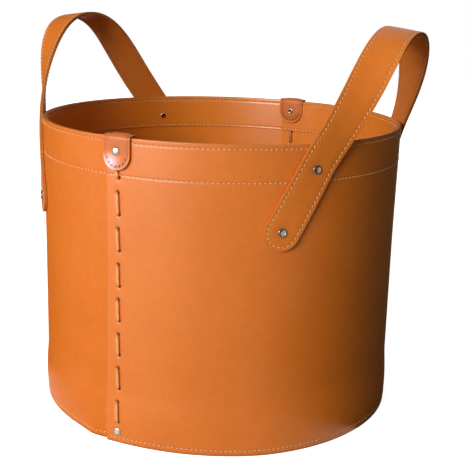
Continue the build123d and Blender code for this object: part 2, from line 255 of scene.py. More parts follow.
# Waxed linen, drawn 1.1 mm thick: cream, nearly matt, with a twist that shows as flecks
creamThread = grainMaterial("waxedLinenThread", "#EDC796", "#D2A06C", 0.7, 0.1, 0.62)
# The thread that shows on the back of a strap: dyed like the leather
tanThread = grainMaterial("tanBobbinThread", "#C98A50", "#A66A34", 0.7, 0.1, 0.62)
# The tabs' own thread: dark brown
brownThread = grainMaterial("brownWaxedThread", "#7A4824", "#54301A", 0.7, 0.1, 0.55)
# Pressed fibreboard: grey-brown and matt with fine flecks
fibreboard = grainMaterial("pressedFibreboard", "#8A7358", "#5F4C38", 1.5, 0.05, 0.85)
# its dark colour stands for tarnish and for painted shade and dark reflection
nickel = nickelMaterial("nickelPlatedRivet", "#CFC8B8", "#3C2E1C")
print("materials made")


# Smoothstep: 3t^2 - 2t^3, held at 0 and 1 outside
def easing(t):
    t = np.clip(t, 0, 1)
    return t * t * (3 - 2 * t)


# A bump of height 1 and a given half width: e to the minus square
def swell(distance, width):
    return np.exp(-((distance / width) ** 2))


# Points at a radius, an angle from +X and a height
def polar(radius, angle, z):
    radius, angle, z = np.broadcast_arrays(radius, np.radians(angle), z)
    return np.stack([radius * np.cos(angle), radius * np.sin(angle), z * 1.0], axis=-1)


# Vectors brought to a length of 1
def unit(vectors):
    return vectors / np.maximum(np.linalg.norm(vectors, axis=-1, keepdims=True), 1e-9)


# Lengths along a row of points, added up from its first
def pathLength(points):
    steps = np.linalg.norm(np.diff(points, axis=0), axis=1)
    return np.concatenate([[0], np.cumsum(steps)])


# Normals of a flat line, to the right of its direction
def lineNormals(points):
    tangent = unit(np.gradient(points, axis=0))
    return np.stack([tangent[:, 1], -tangent[:, 0]], axis=1)


# Rows of values at given lengths along a path
def alongPath(path, values, at):
    return np.stack([np.interp(at, path, values[:, k]) for k in range(values.shape[1])], axis=-1)


bag = {
    "rimRadius": 200.0,
    "height": 321.0,
    "wallThickness": 2.6,
    "layGap": 0.12,
    "frontSeam": -91.2,
    "backSeam": 91.2,
    "lap": 13.5,
    "diveMargin": 2.0,
    "diveRun": 22.0,
    "profile": [(0, 201.2), (19, 202.0), (38, 201.1), (58, 199.3), (200, 199.2), (321, 200.0)],
    "profileEase": 5.0,
    # by how much the foot moves out or in at each angle
    "footPull": [
        (-150, 0), (-123, -2.6), (-116, -3), (-107, -2.6), (-102, 0), (-98, 0.4),
        (-93, -0.6), (-86, -2.2), (-76, -3), (-66, -2.6), (-57, -1.8), (-47, 0),
    ],
    "footEase": 1.5,
    "footHeight": 45.0,
    "paintedContactShadow": (0.6, 3.0),  # how dark the painted contact shadow along the lowest edge is, and how far up it reaches
    # the cut edge of the upper panel stands off: by how much, how soon it fades, the inside's share
    "edgeLift": (0.6, 5.0, 0.6),
    "roundEdge": 0.6,
}
dive = bag["wallThickness"] + bag["layGap"]
degreesPerMm = np.degrees(1 / bag["rimRadius"])
lapAngle = bag["lap"] * degreesPerMm
seams = {"front": bag["frontSeam"], "back": bag["backSeam"]}
upward = np.array([0.0, 0.0, 1.0])


# A table's straight runs rounded into each other: its values on a fine grid, blurred by a
# bell curve, which falls to 1/e at about 1.41 of its width (the square root of 2)
def smoothTable(table, low, high, width):
    grid = np.linspace(low, high, 1501)
    step = grid[1] - grid[0]
    reach = int(3 * width / step)
    weights = swell(np.arange(-reach, reach + 1) * step, width * 1.41)
    values = np.pad(np.interp(grid, *np.array(table).T), reach, mode="edge")
    return grid, np.convolve(values, weights / weights.sum(), mode="valid")


profile = smoothTable(bag["profile"], -30, 351, bag["profileEase"])
footPull = smoothTable(bag["footPull"], -180, 180, bag["footEase"])


# The radius of the wall's outer face at a height
def wallRadius(z):
    return np.interp(z, *profile)


# Each wave has a share, a count round the bag, a start, and the rise in which it shifts by
# one radian. They grow over calmRun from the floor and fade over it from calmTop up.
sag = {
    "sway": 0.5,  # how far the hide waves in and out
    "waves": [(1.0, 2, 0.7, np.inf), (0.55, 3, 0.0, -95.0), (0.3, 7, 0.0, 60.0)],
    "calmRun": 90.0,
    "calmTop": 330.0,
}


# How the hide sags: each point moves in or out by a sum of slow waves round the bag and up
# it, and near the floor by how far the foot stands out at the seam and lies flat beside it
def settle(points):
    angle = np.arctan2(points[..., 1], points[..., 0])
    radius = np.hypot(points[..., 0], points[..., 1])
    z = points[..., 2]
    run = sag["calmRun"]
    rise = easing(z / run) * (1 - easing((z - sag["calmTop"]) / run))
    waves = [
        share * np.sin(count * angle + start + z / climb)
        for share, count, start, climb in sag["waves"]
    ]
    foot = np.interp(np.degrees(angle), *footPull) * (1 - easing(z / bag["footHeight"]))
    move = (sag["sway"] * sum(waves) * rise + foot) * np.clip(radius / bag["rimRadius"], 0, 1)
    settled = points.copy()
    settled[..., :2] *= (1 + move / np.maximum(radius, 1))[..., None]
    return settled


edgeRounding = {"segments": 3, "sharpAngle": 50.0}


# A closed mesh from whole arrays, turned to face outwards, its sharp edges rounded
def newPiece(name, points, faces, materials, kinds=None, shade=None, roundEdge=0.0):
    mesh = bpy.data.meshes.new(name)
    placed = settle(points.reshape(-1, 3)) * millimetre
    mesh.from_pydata(placed.tolist(), [], faces)
    for material in materials:
        mesh.materials.append(material)
    if kinds is not None:
        mesh.polygons.foreach_set("material_index", kinds.astype(np.int32))
    mesh.polygons.foreach_set("use_smooth", np.ones(len(mesh.polygons), bool))
    values = np.zeros(len(placed)) if shade is None else shade.reshape(-1)
    attribute = mesh.attributes.new("shade", "FLOAT", "POINT")
    attribute.data.foreach_set("value", values.astype(np.float32))
    solid = bmesh.new()
    solid.from_mesh(mesh)
    bmesh.ops.recalc_face_normals(solid, faces=solid.faces)
    solid.to_mesh(mesh)
    solid.free()
    piece = bpy.data.objects.new(name, mesh)
    bpy.context.scene.collection.objects.link(piece)
    if roundEdge:
        rounding = piece.modifiers.new("roundEdge", "BEVEL")
        rounding.width = roundEdge * millimetre
        rounding.segments = edgeRounding["segments"]
        rounding.limit_method = "ANGLE"
        rounding.angle_limit = np.radians(edgeRounding["sharpAngle"])
        graph = bpy.context.evaluated_depsgraph_get()
        finished = bpy.data.meshes.new_from_object(piece.evaluated_get(graph))
        piece.modifiers.clear()
        piece.data = finished
    return piece


# Attaches a piece to the bag's body, or for a piece of a handle bakes its placement into its
# points, and hides the CAD nodes that it stands for
def finishPiece(piece, nodes=(), handle=None):
    if handle:
        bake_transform(piece)
    else:
        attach(piece, "bag")
    if nodes:
        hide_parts(*nodes)


# Quads of a grid whose points run row by row
def gridFaces(rows, columns, first=0):
    i, j = np.meshgrid(np.arange(rows - 1), np.arange(columns - 1), indexing="ij")
    corner = (i * columns + j).ravel() + first
    return np.stack([corner, corner + 1, corner + columns + 1, corner + columns], axis=1)


# Quads of a tube: rows along it, each a closed ring
def tubeFaces(rows, columns, closed=False):
    count = rows if closed else rows - 1
    i, j = np.meshgrid(np.arange(count), np.arange(columns), indexing="ij")
    nextI, nextJ = (i + 1) % rows, (j + 1) % columns
    corners = [i * columns + j, i * columns + nextJ, nextI * columns + nextJ, nextI * columns + j]
    return np.stack(corners, axis=-1).reshape(-1, 4)


# A piece of leather: an outer and an inner grid of one size, joined along their borders.
# Its outer face, inner face and cut edge take materials 0, 1 and 2.
def leatherSheet(name, outer, inner, grains, shade, roundEdge):
    rows, columns = outer.shape[:2]
    count = rows * columns
    index = np.arange(count).reshape(rows, columns)
    border = np.concatenate([index[0, :-1], index[:-1, -1], index[-1, :0:-1], index[:0:-1, 0]])
    following = np.roll(border, -1)
    sides = np.stack([border, following, following + count, border + count], axis=1)
    front, behind = gridFaces(rows, columns), gridFaces(rows, columns, count)[:, ::-1]
    faces = np.concatenate([front, behind, sides])
    kinds = np.repeat([0, 1, 2], [len(front), len(behind), len(sides)])
    points, materials = np.stack([outer, inner]), [*grains, tanEdge]
    return newPiece(name, points, faces.tolist(), materials, kinds, shade, roundEdge)


lacing = {
    "width": 3.9,
    "thickness": 2.0,
    "lowest": 23.3,
    "highestDrop": 8.1,  # from the tab's tip to the slot next under it
    "runs": 7,
    "outsideShare": 0.609,
    "tabTip": 289.0,
    "tuck": 0.24,
    "slant": 0.5,  # each outside run leans: its top to the left, its foot to the right
    "pit": (1.9, 0.6, 0.7, 1.5, 0.85),  # radius, its flat and rising shares, depth, and how dark the painted shade in it is
    "pull": (0.5, 3.15),  # how far the lace draws the leather in round each slot, and its reach
    "belly": 0.5,
    "pinch": (0.32, 2.6),  # the lace narrows by this share where it enters a slot, over this reach
    "route": (0.4, 6, 1.06),  # step along it, steps each way that blur its corners, blur width
    "roundness": (0.7, 0.8),  # powers that make its section a rounded rectangle
    "dark": (0.6, 1.6),  # painted shade on the lace in its slots and on its runs inside: how dark, and how far round the slots
    "endDepth": 1.0,  # how far its two ends go on into the wall
}


# Heights of the slots, from the lowest up; the top one is tucked under the tab
def slotHeights():
    pitch = (lacing["tabTip"] - lacing["highestDrop"] - lacing["lowest"]) / lacing["runs"]
    starts = lacing["lowest"] + pitch * np.arange(lacing["runs"])
    pairs = np.stack([starts, starts + lacing["outsideShare"] * pitch], axis=1).ravel()
    top = lacing["lowest"] + pitch * lacing["runs"]
    tucked = lacing["tabTip"] - lacing["thickness"] / 2 - lacing["tuck"]
    return np.concatenate([pairs, [top, tucked]])


# Which way each slot stands off the seam's line: a run's top to the left, its foot to the right
def slotShifts():
    return lacing["slant"] * np.where(np.arange(len(slotHeights())) % 2 == 0, 1, -1)


thread = {
    "radius": 0.55,
    "pitch": 5.0,
    "dash": 3.3,
    "rise": 0.15,
    "sink": 0.6,
    "slant": 8.0,
    "stray": (0.12, 2.0),  # how unevenly a hand sews: in place and in slant
    "rings": [-1.0, -0.82, -0.4, 0.4, 0.82, 1.0],  # shares of half a stitch, and the girth there
    "girth": [0.5, 0.9, 1.0, 1.0, 0.9, 0.5],
}
sewnLines = {
    "rim": 316.1,
    "band": 283.8,
    "foot": 6.0,
    "groove": 0.28,
    "grooveWidth": 1.0,
    # how dark the painted shade in each row's trough is
    "dark": 0.16,
}
# Steps of the wall's mesh, in mm apart from turn: coarse, and fine near seams and sewn rows
wallSteps = {"turn": 1.5, "rise": 5.0, "seamReach": 6.0, "seam": 0.6, "rowReach": 2.8, "row": 0.65}


# The shallow trough that each row of stitches draws in the leather
def sewnGroove(z):
    lines = [swell(z - sewnLines[key], sewnLines["grooveWidth"]) for key in ("rim", "band", "foot")]
    return np.max(lines, axis=0)


# Values from low to high at a coarse step, with a fine step round each centre
def spread(low, high, coarse, centres, reach, fine):
    values = [np.arange(low, high, coarse), [high]]
    values += [np.arange(centre - reach, centre + reach + fine / 2, fine) for centre in centres]
    values = np.sort(np.concatenate(values))
    values = values[(values >= low) & (values <= high)]
    kept = np.concatenate([[True], np.diff(values) > fine * 0.45])
    return values[kept]


# 0 along the panel, then an S of one thickness inwards before the seam where it goes under
def diveDepth(angle, endSeam):
    low = endSeam - (bag["lap"] + bag["diveMargin"]) * degreesPerMm
    high = low - bag["diveRun"] * degreesPerMm
    return dive * easing((angle - high) / (low - high))


# Depth of the pits and of the drawn-in leather round them, and the painted shade in the pits
def slotMarks(angle, z, seam, facing):
    across = (angle - seam) / degreesPerMm
    pitRadius, flatShare, risingShare, pitDepth, pitShade = lacing["pit"]
    pull, pullReach = lacing["pull"]
    depth = np.zeros(np.broadcast(angle, z).shape)
    dark = np.zeros_like(depth)
    for i, (height, shift) in enumerate(zip(slotHeights(), slotShifts())):
        away = np.hypot(across - shift * facing, z - height)
        pit = 1 - easing((away / pitRadius - flatShare) / risingShare)
        depth = np.maximum(depth, pit * pitDepth + pull * swell(away, pullReach))
        dark = np.maximum(dark, pitShade * pit)
    return depth, dark


# The wall between two seams: it lies over the first and dives under the next at the second
def wallPanel(side, startSeam, endSeam):
    start, end = startSeam - lapAngle, endSeam + lapAngle
    reach, fine = [wallSteps[key] * degreesPerMm for key in ("seamReach", "seam")]
    angles = spread(start, end, wallSteps["turn"], [startSeam, endSeam], reach, fine)
    rows = [*slotHeights(), *[sewnLines[key] for key in ("rim", "band", "foot")]]
    near, row = wallSteps["rowReach"], wallSteps["row"]
    heights = spread(0.0, bag["height"], wallSteps["rise"], rows, near, row)
    angle, z = np.meshgrid(angles, heights, indexing="ij")
    outerRadius = wallRadius(z) - diveDepth(angle, endSeam)
    # painted shade in the lace's slots, on each face
    outerPit, outerSlotShade = slotMarks(angle, z, startSeam, 1)
    innerPit, innerSlotShade = slotMarks(angle, z, endSeam, -1)
    groove = sewnGroove(z)
    fromEdge = (angle - start) / degreesPerMm
    most, run, insideShare = bag["edgeLift"]
    lift = most * np.exp(-fromEdge / run)
    outer = polar(outerRadius - outerPit - sewnLines["groove"] * groove + lift, angle, z)
    inner = polar(outerRadius - bag["wallThickness"] + innerPit + lift * insideShare, angle, z)
    # painted shade along the troughs of the sewn rows
    sewn = sewnLines["dark"] * groove
    # painted contact shadow: the wall darker towards its lowest edge
    paintedContactShadow, contactShadowHeight = bag["paintedContactShadow"]
    contactShadow = paintedContactShadow * (1 - easing(z / contactShadowHeight))
    shade = np.stack([np.maximum(outerSlotShade, sewn + contactShadow), innerSlotShade])
    name, grains = f"{side}WallPanel", panelGrains[side]
    panel = leatherSheet(name, outer, inner, grains, shade, bag["roundEdge"])
    finishPiece(panel, [f"{side}_wall_panel"])


# What the photograph shows: the right panel is waxed outside, the left one inside
panelGrains = {"right": [waxedLeather, mattInside], "left": [mattLeather, waxedInside]}
panels = {
    "right": (bag["frontSeam"], bag["backSeam"]),
    "left": (bag["backSeam"], bag["frontSeam"] + 360),
}
for side, ends in panels.items():
    wallPanel(side, *ends)
print("wall panels made")

band = {
    "thickness": 1.8,
    "height": 39.4,
    "butt": 0.4,
    "topInset": 0.2,
    "columns": 150,
    "rise": 3.0,  # coarse step of its mesh
    "rowReach": 2.6,
    "roundEdge": 0.45,
}


# The strip behind the rim, which follows its panel from one seam to the next
def rimBand(side, startSeam, endSeam):
    start = startSeam + lapAngle + band["butt"] * degreesPerMm
    angles = np.linspace(start, endSeam + lapAngle, band["columns"])
    bottom, top = bag["height"] - band["height"], bag["height"] - band["topInset"]
    rows = [sewnLines["rim"], sewnLines["band"]]
    heights = spread(bottom, top, band["rise"], rows, band["rowReach"], wallSteps["row"])
    angle, z = np.meshgrid(angles, heights, indexing="ij")
    radius = wallRadius(z) - diveDepth(angle, endSeam) - bag["wallThickness"] - bag["layGap"]
    groove = sewnGroove(z)
    inner = polar(radius - band["thickness"] + sewnLines["groove"] * groove, angle, z)
    # painted shade along the troughs of the sewn rows on the band's inner face
    shade = np.stack([np.zeros_like(groove), sewnLines["dark"] * groove])
    outer = polar(radius, angle, z)
    name, grains = f"{side}RimBand", panelGrains[side]
    strip = leatherSheet(name, outer, inner, grains, shade, band["roundEdge"])
    finishPiece(strip, [f"{side}_rim_band"])


for side, ends in panels.items():
    rimBand(side, *ends)
print("rim bands made")

base = {
    "trayThickness": 3.0,
    "flangeHeight": 38.0,
    "flangeRadius": 198.38,
    "corner": 5.0,
    "innerCorner": 2.0,
    "trayRings": (30, 150, 5),  # insets of the first and the last ring on the floor, and how many
    "trayCap": 0.6,  # radius of the flat cap that closes the middle
    "linerRadius": 192.06,
    "linerBottom": 6.5,
    "linerThickness": 2.0,
    "linerRings": (20, 160, 6),
    "linerCap": 1.0,
    # the rounded edge: insets, and shares of the thickness
    "linerEdge": [(0.8, 0.0), (0.2, 0.12), (0.0, 0.5), (0.2, 0.88), (0.8, 1.0)],
}


# An outline of insets and heights, carried round the bag at a radius for each angle and
# closed in the middle by a small flat cap below and one above
def turnedPiece(name, insets, heights, radii, angles, material):
    points = polar(radii[:, None] - insets[None, :], angles[:, None], heights[None, :])
    sides, rings = points.shape[:2]
    faces = tubeFaces(sides, rings, closed=True).reshape(sides, rings, 4)[:, :-1].reshape(-1, 4)
    start = np.arange(sides) * rings
    caps = [start.tolist(), (start + rings - 1).tolist()]
    return newPiece(name, points, faces.tolist() + caps, [material])


# An arc of an outline, as insets and heights
def outlineArc(inset, height, radius, startAngle, endAngle, steps=6):
    turn = np.radians(np.linspace(startAngle, endAngle, steps))
    return inset + radius * np.cos(turn), height + radius * np.sin(turn)


# Floor and flange in one moulded piece, dented at each seam for the panel that dives there
def baseTray():
    thick, corner, inner = base["trayThickness"], base["corner"], base["innerCorner"]
    top = base["flangeHeight"]
    middle = base["flangeRadius"] - dive - base["trayCap"]
    runs = np.linspace(*base["trayRings"])
    outside = outlineArc(corner, corner, corner, 270, 180)
    lip = outlineArc(thick / 2, top - thick / 2, thick / 2, 180, 0, 9)
    inside = outlineArc(thick + inner, thick + inner, inner, 180, 270)
    insets = np.concatenate([[middle], runs[::-1], outside[0], lip[0], inside[0], runs, [middle]])
    flat = np.ones(len(runs) + 1)
    floors = [0 * flat, outside[1], lip[1], inside[1], thick * flat]
    angles = np.arange(0, 360, 1.0)
    radii = np.full(angles.shape, base["flangeRadius"])
    for seam in seams.values():
        away = np.abs((angles - seam + 180) % 360 - 180) / degreesPerMm
        radii -= dive * (1 - easing((away - bag["lap"] - bag["diveMargin"]) / bag["diveRun"]))
    tray = turnedPiece("baseTray", insets, np.concatenate(floors), radii, angles, baseLeather)
    finishPiece(tray, ["base_tray"])


# A disc with a rounded edge
def baseLiner():
    bottom, thick = base["linerBottom"], base["linerThickness"]
    runs = np.linspace(*base["linerRings"])
    middle = base["linerRadius"] - base["linerCap"]
    edge = np.array(base["linerEdge"]).T
    insets = np.concatenate([[middle], runs[::-1], edge[0], runs, [middle]])
    flat = np.ones(len(runs) + 1)
    heights = np.concatenate([bottom * flat, bottom + thick * edge[1], (bottom + thick) * flat])
    angles = np.arange(0, 360, 1.5)
    radii = np.full(angles.shape, base["linerRadius"])
    liner = turnedPiece("baseLiner", insets, heights, radii, angles, baseLeather)
    finishPiece(liner, ["base_liner"])


baseTray()
baseLiner()
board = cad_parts["base_board"]
board.data.materials.clear()
board.data.materials.append(fibreboard)
print("base made")


fineShare = 0.6  # the part of a strip's blendRun that has the fine step


# Rows along a strip and columns across it. Near an end the rows take the end's own curve,
# which tipRise gives by how far across a point lies, and the curve fades along blendRun.
def stripGrid(length, halfWidth, tipRise, blendRun, columns, fine, coarse):
    near = blendRun * fineShare
    rows = np.concatenate([np.arange(0, near, fine), np.arange(near, length / 2, coarse)])
    rows = np.unique(np.concatenate([rows, length - rows]))
    columnsAt = halfWidth * np.sin(np.radians(np.linspace(-90, 90, columns)))
    row, across = np.meshgrid(rows, columnsAt, indexing="ij")
    rise = tipRise(np.abs(across))
    fade = np.clip(1 - row / blendRun, 0, 1) - np.clip(1 - (length - row) / blendRun, 0, 1)
    return row + rise * fade, across


# Points of a strip: its centre line, plus a way across, plus a lift off its face
def carriedPoints(path, vectors, place, across, lift):
    flat = place.ravel()
    centre, width, out = [alongPath(path, v, flat).reshape(*place.shape, 3) for v in vectors]
    return centre + unit(width) * across[..., None] + unit(out) * lift[..., None]


tab = {
    "width": 31.4,
    "thickness": 2.4,
    "outerTip": 289.0,
    "innerTip": 292.5,
    "endRadius": 15.3,
    "tip": (1.5, 15.0),  # the lace's end under it holds the tip so far off the wall, over this run
    "grid": (26.0, 41, 0.7, 0.9),  # blendRun, columns, fine and coarse step
    "paintedGlare": (1.0, 7.0, 8.0),  # painted highlight, a pale glare on the lower tip: strength, place and reach
    "innerFace": 191.83,
    "foldRadius": 0.9,
    "crease": (2.6, 0.5, 0.3, 0.5),  # inset, width, depth, and how dark the painted shade in it is
    "shoulder": (0.6, 7.0),  # the face rises from so far outside the crease, over this run
    "crown": 1.1,
    "crownRise": (0.35, 15.0),  # the share of it at the tip, and the run to all of it
    "press": (5.5, 0.45, 0.2),  # round the rivet: reach, share of the crown lost, and how dark the painted shade in the dent is
    "faceSink": 0.25,
    "rivetHeight": 307.7,
    "body": (0.14, 8.0, 16.0),  # painted shade over the upper part, above the painted glare: how dark, from where, over what run
    "stitchPath": (3.9, 82.0, 0.1),  # inset, half of its turn, and how far the thread is sunk
    "stitches": (4.4, 3.0, 24.0),  # pitch, dash and slant
    "roundEdge": 0.6,
}


# Up the outside of the rim, over it and down the inside, with two rounded corners
def foldedPath(outerFace, top, fold):
    turn = np.radians(np.linspace(0, 90, 7))
    inner = tab["innerFace"]
    up = np.linspace(tab["outerTip"], top - fold, 30)
    down = np.linspace(top - fold, tab["innerTip"], 30)[1:]
    radii = [np.full(30, outerFace), outerFace - fold + fold * np.cos(turn[1:])]
    radii += [inner + fold - fold * np.sin(turn), np.full(29, inner)]
    heights = [up, top - fold + fold * np.sin(turn[1:]), top - fold + fold * np.cos(turn), down]
    points = np.stack([np.concatenate(radii), np.concatenate(heights)], axis=1)
    return points, lineNormals(points)


# How far the tab stands off the wall: all of it at the tip, then a smoothstep down to none
def tipLift(place):
    most, run = tab["tip"]
    return most * (1 - easing(place / run))


# How near a point of a strip is to any of its rivets, from 0 to 1
def nearRivets(place, across, rivets, reach):
    return np.max([swell(np.hypot(place - at, across), reach) for at in rivets], axis=0)


# Outwards and sideways at a seam
def seamAxes(seam):
    return polar(1.0, seam, 0.0), polar(1.0, seam + 90, 0.0)


# A folded strip with round tips: crowned, creased along its edge, pressed in by its rivet
def seamTab(side, seam):
    outerFace = bag["rimRadius"] + bag["layGap"]
    points, normals = foldedPath(outerFace, bag["height"] + bag["layGap"], tab["foldRadius"])
    path = pathLength(points)
    length = path[-1]
    half, corner = tab["width"] / 2, tab["endRadius"]
    flat = half - corner

    def tipRise(x):
        return corner - np.sqrt(np.maximum(corner**2 - np.maximum(x - flat, 0) ** 2, 0))

    place, across = stripGrid(length, half, tipRise, *tab["grid"])
    fromEnd = np.minimum(place, length - place)
    beside = np.maximum(np.abs(across) - flat, 0)
    fromTip = corner - np.hypot(beside, np.maximum(corner - fromEnd, 0))
    fromEdge = np.where(fromEnd < corner, fromTip, half - np.abs(across))
    inset, width, creaseDepth, creaseDark = tab["crease"]
    crease = swell(fromEdge - inset, width)
    lead, run = tab["shoulder"]
    shoulder = easing((fromEdge - inset + lead) / run)
    rivets = [tab["rivetHeight"] - tab["outerTip"], length - tab["rivetHeight"] + tab["innerTip"]]
    reach, pressShare, pressDark = tab["press"]
    press = nearRivets(place, across, rivets, reach)
    least, run = tab["crownRise"]
    crown = tab["crown"] * (least + (1 - least) * easing(fromEnd / run))
    crown = crown * shoulder * (1 - pressShare * press)
    tip = tipLift(place)
    face = tab["thickness"] - tab["faceSink"] + crown - creaseDepth * crease + tip
    outward, sideways = seamAxes(seam)
    centre = points[:, :1] * outward + points[:, 1:] * upward
    out = normals[:, :1] * outward + normals[:, 1:] * upward
    vectors = [centre, np.broadcast_to(sideways, centre.shape), out]
    outer = carriedPoints(path, vectors, place, across, face)
    inner = carriedPoints(path, vectors, place, across, tip)
    # painted highlight: a pale glare on the tab's lower tip
    strength, spot, reach = tab["paintedGlare"]
    paintedGlare = strength * swell(np.hypot(place - spot, across + spot), reach)
    most, start, run = tab["body"]
    # painted shade: in the crease, in the dent round each rivet and over the upper part
    dark = creaseDark * crease + pressDark * press + most * easing((place - start) / run)
    shade = np.stack([dark - paintedGlare, np.zeros_like(crease)])
    piece = leatherSheet(f"{side}SeamTab", outer, inner, [tabLeather] * 2, shade, tab["roundEdge"])
    finishPiece(piece, [f"{side}_seam_tab"])
    lines = []
    inset, halfTurn, sink = tab["stitchPath"]
    reach = corner - inset
    turn = np.radians(np.linspace(-halfTurn, halfTurn, 40))
    for end, sign in ((0, 1), (length, -1)):
        placed = end + sign * (corner - reach * np.cos(turn))
        lift = tab["thickness"] - sink + tipLift(placed)
        line = carriedPoints(path, vectors, placed, reach * np.sin(turn), lift)
        lines.append(stitchLine(line, alongPath(path, out, placed), *tab["stitches"]))
    finishPiece(threadPiece(f"{side}TabStitching", lines, brownThread))


nudge = 0.3  # how far each way a stitch looks for its direction


# Stitches at an even pitch along a line on the leather, each a short thread, both ends sunk
def stitchLine(points, normals, pitch, dash, slant):
    length = pathLength(points)
    count = int(length[-1] // pitch)
    strayPlace, straySlant = thread["stray"]
    at = (np.arange(count) + 0.5) * length[-1] / count + rng.normal(0, strayPlace, count)
    ahead = alongPath(length, points, np.minimum(at + nudge, length[-1]))
    way = unit(ahead - alongPath(length, points, at - nudge))
    out = unit(alongPath(length, normals, at))
    lean = np.radians(slant + rng.normal(0, straySlant, count))[:, None]
    tilted = unit(way * np.cos(lean) + np.cross(out, way) * np.sin(lean))
    basis = np.stack([tilted, np.cross(out, tilted), out], axis=1)
    ring = np.array(thread["rings"])
    height = thread["rise"] - (thread["rise"] + thread["sink"]) * np.abs(ring) ** 4
    radius = thread["radius"] * np.array(thread["girth"])
    turn = np.radians(np.arange(0, 360, 60.0))
    local = np.zeros((len(ring), len(turn), 3))
    local[..., 0] = (ring * dash / 2)[:, None]
    local[..., 1] = radius[:, None] * np.cos(turn)[None, :]
    local[..., 2] = height[:, None] + radius[:, None] * np.sin(turn)[None, :]
    centre = alongPath(length, points, at)[:, None, None, :]
    return centre + np.einsum("abk,nkc->nabc", local, basis)


# One mesh for a group of stitches: the same small tube repeated, its ends capped
def threadPiece(name, lines, material):
    stitches = np.concatenate(lines)
    count, rings, sides = stitches.shape[:3]
    first = (np.arange(count) * rings * sides)[:, None, None]
    quads = (tubeFaces(rings, sides)[None] + first).reshape(-1, 4)
    ends = np.stack([np.arange(sides)[::-1], np.arange(sides) + (rings - 1) * sides])
    caps = (ends[None] + first).reshape(-1, sides)
    return newPiece(name, stitches, quads.tolist() + caps.tolist(), [material])


for side, seam in seams.items():
    seamTab(side, seam)
print("seam tabs made")


# Radius, height and sideways place along the running stitch, from the top down
def laceRoute():
    heights, shifts = slotHeights()[::-1], slotShifts()[::-1]
    off = bag["layGap"] + lacing["thickness"] / 2
    stack = 2 * bag["wallThickness"] + bag["layGap"]
    share = np.linspace(0, 1, 7)
    ends = [
        [wallRadius(heights[k]) - stack + lacing["endDepth"], heights[k], shifts[k]]
        for k in (0, -1)
    ]
    route = [ends[:1]]
    for i in range(len(heights) - 1):
        z = heights[i] + (heights[i + 1] - heights[i]) * share
        belly = lacing["belly"] * np.sin(np.pi * share)
        radius = wallRadius(z) + (off + belly if i % 2 == 0 else -stack - off - belly)
        route.append(np.stack([radius, z, shifts[i] + (shifts[i + 1] - shifts[i]) * share], axis=1))
    route.append(ends[1:])
    return np.concatenate(route)


# A thong with rounded edges carried along the running stitch, narrower where it enters a slot
def seamLace(side, seam):
    route = laceRoute()
    length = pathLength(route)
    step, reach, blur = lacing["route"]
    points = alongPath(length, route, np.arange(0, length[-1], step))
    weights = swell(np.arange(-reach, reach + 1) * step, blur)
    padded = np.pad(points, ((reach, reach), (0, 0)), mode="edge")
    smooth = [np.convolve(padded[:, k], weights / weights.sum(), mode="valid") for k in range(3)]
    points = np.stack(smooth, axis=1)
    normal = lineNormals(points[:, :2])
    near = np.min(np.abs(points[:, 1][:, None] - slotHeights()[None, :]), axis=1)
    pinch, pinchReach = lacing["pinch"]
    narrow = 1 - pinch * swell(near, pinchReach)
    turn = np.radians(np.arange(0, 360, 22.5))
    sizes = (lacing["width"], lacing["thickness"])
    across, height = [
        size / 2 * np.sign(wave) * np.abs(wave) ** power
        for size, wave, power in zip(sizes, (np.cos(turn), np.sin(turn)), lacing["roundness"])
    ]
    outward, sideways = seamAxes(seam)
    radius = points[:, :1] + normal[:, :1] * height[None, :]
    z = points[:, 1:2] + normal[:, 1:] * height[None, :]
    beside = points[:, 2:] + narrow[:, None] * across[None, :]
    grid = radius[..., None] * outward + beside[..., None] * sideways
    grid = grid + z[..., None] * upward
    rows, columns = grid.shape[:2]
    ends = [np.arange(columns).tolist(), (np.arange(columns) + (rows - 1) * columns).tolist()]
    faces = tubeFaces(rows, columns).tolist() + ends
    # painted shade: the lace darker on its runs inside the wall and where it enters a slot
    behind = easing((wallRadius(points[:, 1]) - points[:, 0]) / bag["wallThickness"])
    dark, darkReach = lacing["dark"]
    shade = np.repeat(dark * np.maximum(swell(near, darkReach), behind)[:, None], columns, axis=1)
    piece = newPiece(f"{side}SeamLace", grid, faces, [laceLeather], None, shade)
    finishPiece(piece, [f"{side}_seam_lace"])


for side, seam in seams.items():
    seamLace(side, seam)
print("laces made")


sewnInset = 3.0  # how far from a panel's edges its rows of stitches start


# A line round the wall at a depth under its outer face, with its outward or inward normals
def ringLine(endSeam, depth, z, start, end, facing):
    angle = np.linspace(start, end, 720)
    radius = wallRadius(np.full(angle.shape, z)) - diveDepth(angle, endSeam) - depth
    return polar(radius, angle, z), facing * polar(1.0, angle, 0.0)


# Three rows outside, which stop where the next panel covers them, and two on the band inside
def wallStitching(side, startSeam, endSeam):
    inset = sewnInset * degreesPerMm
    groove = sewnLines["groove"]
    bandFace = bag["wallThickness"] + bag["layGap"] + band["thickness"]
    outside = groove, startSeam - lapAngle + inset, endSeam - lapAngle - inset, 1
    inside = bandFace - groove, startSeam + lapAngle + inset, endSeam + lapAngle - inset, -1
    rows = [(key, *outside) for key in ("rim", "band", "foot")]
    rows += [(key, *inside) for key in ("rim", "band")]
    lines = []
    for key, depth, start, end, facing in rows:
        line = ringLine(endSeam, depth, sewnLines[key], start, end, facing)
        lines.append(stitchLine(*line, thread["pitch"], thread["dash"], thread["slant"]))
    finishPiece(threadPiece(f"{side}WallStitching", lines, creamThread))


for side, ends in panels.items():
    wallStitching(side, *ends)
print("wall stitching made")

